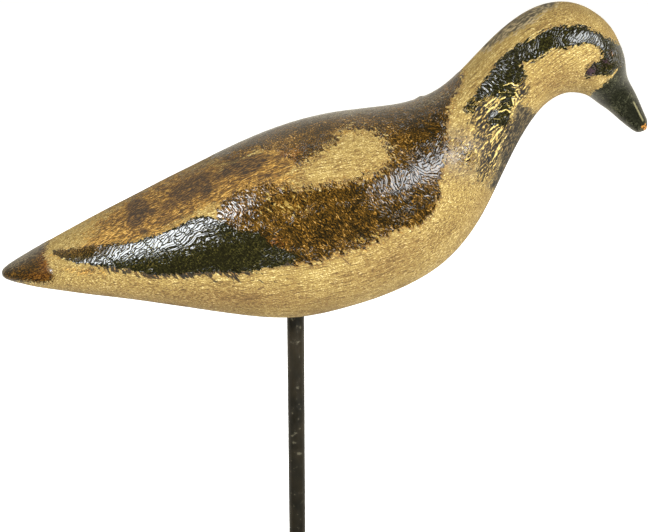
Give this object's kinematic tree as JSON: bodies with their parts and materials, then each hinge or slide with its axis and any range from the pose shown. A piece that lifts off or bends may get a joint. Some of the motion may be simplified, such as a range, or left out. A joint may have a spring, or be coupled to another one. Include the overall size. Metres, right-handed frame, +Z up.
{
  "type": "shorebird decoy",
  "caption": "Wooden shorebird decoy, carved in the round and painted, with a lowered head and short downturned bill, held up on a plain steel rod in a square foot plate.",
  "frame": {"origin": "centre of the foot plate's underside, on the rod's axis", "axes": "+Z up along the rod, +X towards the bird's bill, +Y to the bird's left"},
  "size_m": [0.2297, 0.1, 0.2698],
  "materials": {
    "painted_wood": "worn, crackled and varnished oil paint in cream, brown and black",
    "dark_steel": "blackened, satin"
  },
  "bodies": {
    "root": {"carved_bird": "painted_wood", "stand_rod": "dark_steel", "foot_plate": "dark_steel"}
  },
  "joints": []
}
